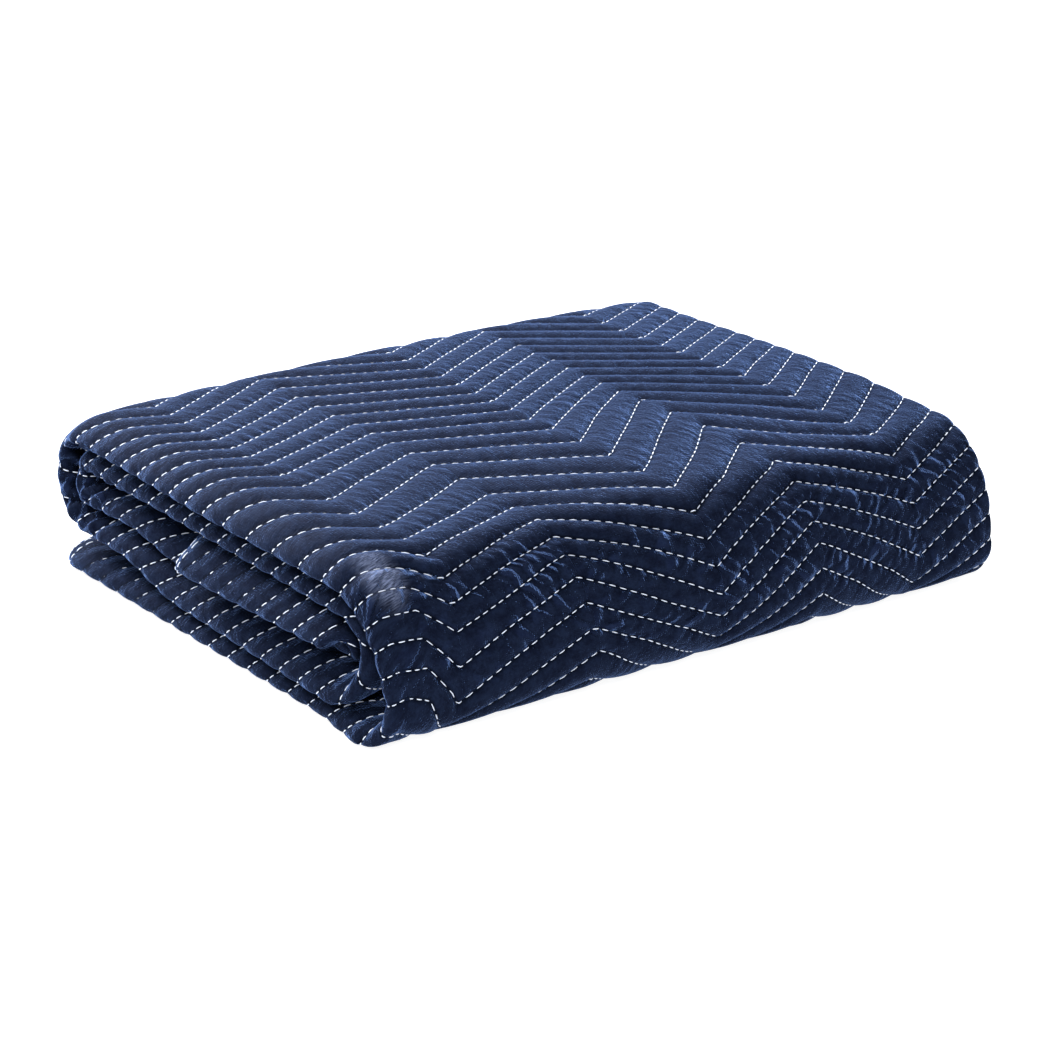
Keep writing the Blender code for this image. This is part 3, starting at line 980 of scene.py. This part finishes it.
def stitched(name, ends, sheet, settings, material):
    """Join one stitch for each pair of flat end points into a mesh."""
    points, faces = stitch_shape(settings.thread_width)
    chance = random.Random(WOBBLE_SEED)
    all_points, all_faces = [], []
    for start, end in ends:
        first = sheet.lay(*start, lift=-settings.thread_width * STITCH_END_DEPTH)
        last = sheet.lay(*end, lift=-settings.thread_width * STITCH_END_DEPTH)
        middle_flat = ((start[0] + end[0]) / 2, (start[1] + end[1]) / 2)
        middle = sheet.lay(*middle_flat, lift=settings.thread_width * STITCH_LIFT)
        out = sheet.lay(*middle_flat, lift=settings.thread_width * (STITCH_LIFT + 1)) - middle
        out.normalize()
        along = (last - first).normalized()
        side = along.cross(out).normalized()
        base = len(all_points)
        wobble = chance.uniform(-STITCH_WOBBLE, STITCH_WOBBLE) * settings.thread_width
        for x, y, z in points:
            share = x + 0.5
            bend = 4 * share * (1 - share)
            line = first.lerp(last, share) + (middle - first.lerp(last, 0.5)) * bend
            all_points.append(line + side * (y + wobble) + out * z * STITCH_FLATNESS)
        all_faces += [tuple(index + base for index in face) for face in faces]
    mesh = bpy.data.meshes.new(name)
    mesh.from_pydata(all_points, [], all_faces)
    mesh.materials.append(material)
    threads = bpy.data.objects.new(name, mesh)
    bpy.context.collection.objects.link(threads)
    nothing_selected()
    threads.select_set(True)
    bpy.context.view_layer.objects.active = threads
    bpy.ops.object.mode_set(mode="EDIT")
    bpy.ops.mesh.select_all(action="SELECT")
    bpy.ops.mesh.normals_make_consistent(inside=False)
    bpy.ops.object.mode_set(mode="OBJECT")
    bpy.ops.object.shade_smooth()
    return threads


def row_stitches(sheet, settings, shown):
    """Flat end points of the stitches of every row of quilting, where shown(u, v) says so."""
    ends = []
    quilt = sheet.settings
    chance = random.Random(ROW_SEED)
    rows = int((quilt.flat_width - quilt.first_row + quilt.zigzag_height) / quilt.quilt_pitch) + 2
    slope = math.hypot(quilt.zigzag_height, quilt.zigzag_leg) / quilt.zigzag_leg
    step = settings.stitch_pitch / slope
    length = settings.stitch_length / slope
    for row in range(-1, rows):
        level = quilt.first_row + row * quilt.quilt_pitch
        u = chance.uniform(0, step)
        while u < quilt.flat_length - length:
            start = (u, level + sheet.zigzag(u))
            end = (u + length, level + sheet.zigzag(u + length))
            low, high = min(start[1], end[1]), max(start[1], end[1])
            if low > HEM_CLEARANCE and high < quilt.flat_width - HEM_CLEARANCE and shown(u, low):
                ends.append((start, end))
            u += step
    return ends


class BLANKET_OT_stitches(bpy.types.Operator):
    """Add the white stitching of the quilting and of both hems"""
    bl_idname = "blanket.stitches"
    bl_label = "Stitching"

    def execute(self, context):
        settings = context.scene.blanket_stitches
        sheet = FoldedSheet(context.scene.blanket_settings)
        material = polyester_thread(settings)
        fold_u = sheet.ply

        def shown(u, v):
            outside = fold_u < u < 2 * fold_u and v < BACK_SEEN
            left_end = abs(u - fold_u) < LEFT_END_SEEN
            right_end = abs(u - 2 * fold_u) < RIGHT_END_SEEN
            low_inside = u < fold_u and v < LOW_HEM_SEEN
            loop_inside = 2 * fold_u / 3 < u < fold_u and LOOP_SEEN[0] < v < LOOP_SEEN[1]
            return outside or left_end or right_end or low_inside or loop_inside

        rows = stitched(STITCHES, row_stitches(sheet, settings, shown), sheet, settings, material)
        ends = []
        for edge in (0.0, sheet.settings.flat_width):
            for inset in HEM_LINES:
                v = abs(edge - inset)
                u = HEM_LINE_START
                while u < 2 * fold_u:
                    ends.append(((u, v), (u + settings.stitch_length, v)))
                    u += settings.stitch_pitch
        hems = stitched(HEM_STITCHES, ends, sheet, settings, material)
        for piece in (rows, hems):
            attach(piece, "root")
        return {"FINISHED"}


class BLANKET_OT_stage(bpy.types.Operator):
    """Add the floor, the studio lights and the camera"""
    bl_idname = "blanket.stage"
    bl_label = "Stage"

    def execute(self, context):
        settings = context.scene.blanket_stage
        nothing_selected()
        bpy.ops.mesh.primitive_plane_add(size=FLOOR_SIZE, location=(0, 0, 0))
        floor = context.object
        floor.name = "studio_floor"
        # A sheet of white acrylic lit from below, as on a product table, so that no shadow shows
        material, tree, shader = new_material("white_acrylic_lit_from_below")
        fill_inputs(tree, shader, {
            "Base Color": linear(settings.floor_colour),
            "Roughness": 0.9,
            "Emission Color": linear("ffffff"),
            "Emission Strength": settings.floor_glow,
        })
        floor.data.materials.append(material)

        world = bpy.data.worlds.new("studio")
        world.use_nodes = True
        fill_inputs(world.node_tree, world.node_tree.nodes["Background"],
                    {"Color": linear("ffffff"), "Strength": settings.sky_strength})
        context.scene.world = world

        lights = (
            ("key_light", KEY_PLACE, KEY_SIZE, settings.key_power),
            ("fill_light", FILL_PLACE, FILL_SIZE, settings.fill_power),
        )
        for name, place, size, power in lights:
            bpy.ops.object.light_add(type="AREA", location=place)
            light = context.object
            light.name = name
            light.data.size = size
            light.data.energy = power
            light.rotation_euler = (Vector(LIGHTS_AIM) - Vector(place)).to_track_quat("-Z", "Y").to_euler()

        turn = (Vector(CAMERA_AIM) - Vector(CAMERA_PLACE)).to_track_quat("-Z", "Y")
        turn = turn @ Quaternion((0, 0, 1), math.radians(CAMERA_ROLL))
        bpy.ops.object.camera_add(location=CAMERA_PLACE, rotation=turn.to_euler())
        camera = context.object
        camera.data.lens = settings.lens
        camera.data.sensor_width = SENSOR_WIDTH
        camera.data.dof.use_dof = False
        context.scene.camera = camera
        context.scene.view_settings.view_transform = "Standard"
        return {"FINISHED"}


class BLANKET_PT_panel(bpy.types.Panel):
    """The blanket's pieces"""
    bl_idname = "BLANKET_PT_panel"
    bl_label = "Moving blanket"
    bl_space_type = "VIEW_3D"
    bl_region_type = "UI"
    bl_category = "Blanket"

    def draw(self, context):
        for group, operator in (("blanket_settings", BLANKET_OT_sheet),
                                ("blanket_stitches", BLANKET_OT_stitches),
                                ("blanket_stage", BLANKET_OT_stage)):
            box = self.layout.box()
            settings = getattr(context.scene, group)
            for name in settings.__annotations__:
                box.prop(settings, name)
            box.operator(operator.bl_idname)


CLASSES = (BlanketSettings, StitchSettings, StageSettings, BLANKET_OT_sheet, BLANKET_OT_stitches,
           BLANKET_OT_stage, BLANKET_PT_panel)


def register():
    for cls in CLASSES:
        bpy.utils.register_class(cls)
    bpy.types.Scene.blanket_settings = bpy.props.PointerProperty(type=BlanketSettings)
    bpy.types.Scene.blanket_stitches = bpy.props.PointerProperty(type=StitchSettings)
    bpy.types.Scene.blanket_stage = bpy.props.PointerProperty(type=StageSettings)


def unregister():
    del bpy.types.Scene.blanket_stage
    del bpy.types.Scene.blanket_stitches
    del bpy.types.Scene.blanket_settings
    for cls in reversed(CLASSES):
        bpy.utils.unregister_class(cls)


def main():
    register()
    bpy.ops.blanket.stage()
    bpy.ops.blanket.sheet()
    bpy.ops.blanket.stitches()


if __name__ == "__main__":
    main()
